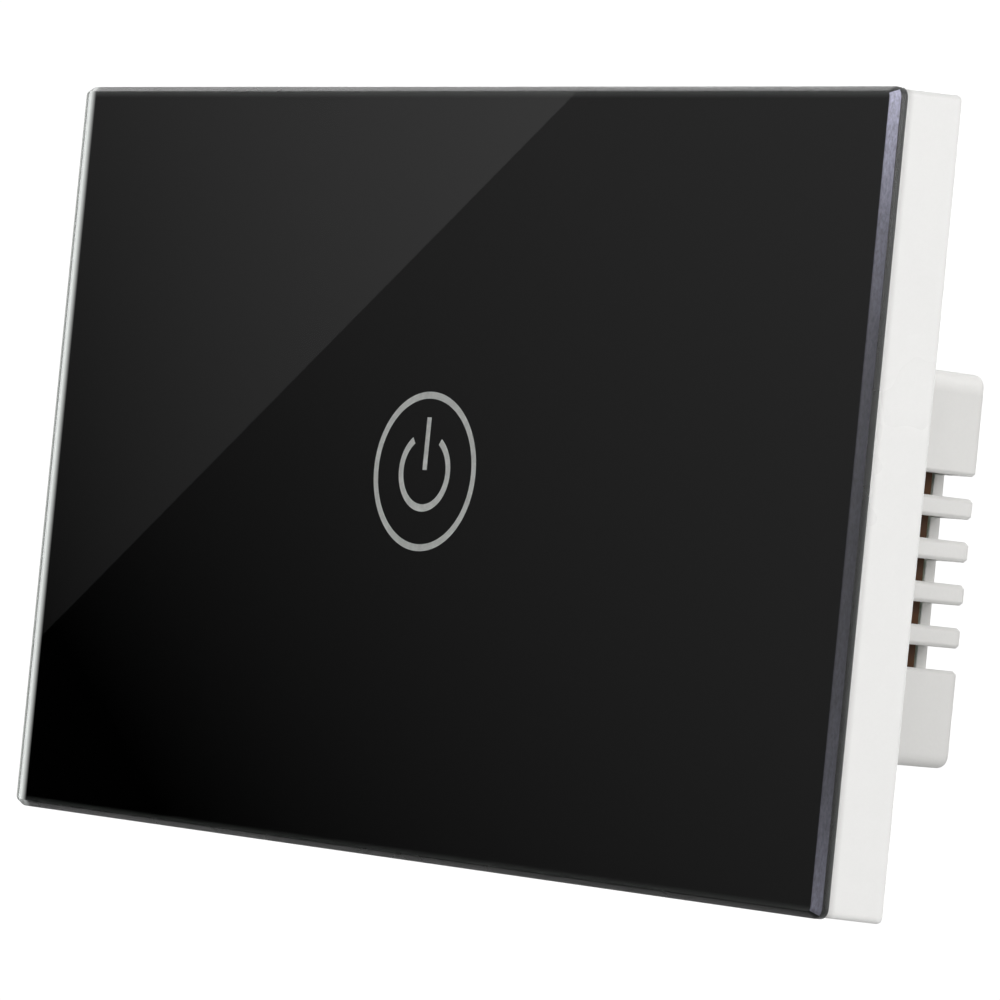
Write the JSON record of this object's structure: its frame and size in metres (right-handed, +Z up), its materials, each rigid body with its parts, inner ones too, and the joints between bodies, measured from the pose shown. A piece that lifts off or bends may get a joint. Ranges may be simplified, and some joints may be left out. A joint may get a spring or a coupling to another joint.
{
  "type": "touch wall light switch",
  "caption": "Landscape touch light switch: black glass panel with bevelled edges on a white frame, clipped to a yoke and a vented white box that sits in a wall box.",
  "frame": {"origin": "middle of the wall plane, halfway between the two box screw slots", "axes": "+X along the panel's long side to the viewer's right, +Y into the wall, +Z up"},
  "size_m": [0.1182, 0.0396, 0.0722],
  "materials": {
    "housing_plastic": "fine matt moulding",
    "terminal_plastic": "matt grey moulding",
    "tinned_brass": "tin plated",
    "paper_laminate": "brown paper laminate",
    "gold_pins": "gold flash",
    "black_plastic": "matt black moulding",
    "bobbin_plastic": "natural moulding",
    "copper_wire": "enamelled wire",
    "relay_iron": "nickel plated iron",
    "contact_brass": "bronze strip",
    "relay_blue": "smooth moulding",
    "ferrite": "sintered",
    "yellow_tape": "polyester tape",
    "capacitor_sleeve": "shrink sleeve",
    "film_yellow": "moulded case",
    "varistor_blue": "epoxy coat",
    "fuse_ceramic": "glazed ceramic with plated caps",
    "zinc_steel": "zinc plated",
    "fish_paper": "insulating sheet",
    "touch_laminate": "black solder mask",
    "screw_steel": "nickel plated",
    "module_laminate": "blue solder mask",
    "shield_metal": "tin plated",
    "led_resin": "clear resin in white case",
    "spring_steel": "gold free plated wire",
    "frame_plastic": "smooth white moulding",
    "foam_tape": "foam",
    "milky_film": "milky film",
    "panel_glass": "polished, ground bevel, black back print",
    "cage_steel": "zinc plated"
  },
  "bodies": {
    "base": {"rear_housing": "housing_plastic", "terminal_block": "terminal_plastic", "terminal_bars": "tinned_brass", "power_board": "paper_laminate", "link_pins": "gold_pins", "link_spacers": "black_plastic", "relay_base": "black_plastic", "relay_bobbin": "bobbin_plastic", "relay_winding": "copper_wire", "relay_core": "relay_iron", "fixed_contact": "contact_brass", "relay_case": "relay_blue", "transformer_base": "black_plastic", "transformer_core": "ferrite", "transformer_winding": "yellow_tape", "smoothing_capacitors": "capacitor_sleeve", "film_capacitor": "film_yellow", "varistor": "varistor_blue", "fuse": "fuse_ceramic", "choke": "copper_wire", "bridge_rectifier": "black_plastic", "mounting_yoke": "zinc_steel", "insulating_sheet": "fish_paper", "touch_board": "touch_laminate", "board_screws": "screw_steel", "link_socket": "black_plastic", "radio_module": "module_laminate", "shield_can": "shield_metal", "touch_chip": "black_plastic", "status_led": "led_resin", "touch_spring": "spring_steel"},
    "relay_armature": {"relay_armature": "relay_iron", "contact_blade": "contact_brass"},
    "front_cover": {"panel_frame": "frame_plastic", "snap_hooks": "frame_plastic", "adhesive_tape": "foam_tape", "diffuser_disc": "milky_film", "glass_panel": "panel_glass"},
    "terminal_screw_1": {"terminal_screw_1": "screw_steel"},
    "clamp_cage_1": {"clamp_cage_1": "cage_steel"},
    "terminal_screw_2": {"terminal_screw_2": "screw_steel"},
    "clamp_cage_2": {"clamp_cage_2": "cage_steel"},
    "terminal_screw_3": {"terminal_screw_3": "screw_steel"},
    "clamp_cage_3": {"clamp_cage_3": "cage_steel"}
  },
  "joints": [
    {"name": "cover_release", "type": "slide", "parent": "base", "child": "front_cover", "axis": [0, -1, 0], "range_m": [0, 0.016], "deforming": ["snap_hooks", "touch_spring"]},
    {"name": "armature_pivot", "type": "hinge", "parent": "base", "child": "relay_armature", "pos_m": [-0.028, 0.0145, 0.0024], "axis": [0, 0, 1], "range_deg": [0, 3.6], "stiffness_Nm_per_rad": 0.02, "springref_deg": -11.46},
    {"name": "terminal_screw_1_turn", "type": "hinge", "parent": "base", "child": "terminal_screw_1", "pos_m": [-0.0095, 0.027, -0.0166], "axis": [0, 1, 0], "range_deg": [0, 1800]},
    {"name": "clamp_cage_1_lift", "type": "slide", "parent": "base", "child": "clamp_cage_1", "axis": [0, 1, 0], "range_m": [0, 0.0025]},
    {"name": "terminal_screw_2_turn", "type": "hinge", "parent": "base", "child": "terminal_screw_2", "pos_m": [0, 0.027, -0.0166], "axis": [0, 1, 0], "range_deg": [0, 1800]},
    {"name": "clamp_cage_2_lift", "type": "slide", "parent": "base", "child": "clamp_cage_2", "axis": [0, 1, 0], "range_m": [0, 0.0025]},
    {"name": "terminal_screw_3_turn", "type": "hinge", "parent": "base", "child": "terminal_screw_3", "pos_m": [0.0095, 0.027, -0.0166], "axis": [0, 1, 0], "range_deg": [0, 1800]},
    {"name": "clamp_cage_3_lift", "type": "slide", "parent": "base", "child": "clamp_cage_3", "axis": [0, 1, 0], "range_m": [0, 0.0025]}
  ],
  "couplings": [
    {"joint": "terminal_screw_1_turn", "follows": "clamp_cage_1_lift", "rad_per_m": 12566},
    {"joint": "terminal_screw_2_turn", "follows": "clamp_cage_2_lift", "rad_per_m": 12566},
    {"joint": "terminal_screw_3_turn", "follows": "clamp_cage_3_lift", "rad_per_m": 12566}
  ]
}
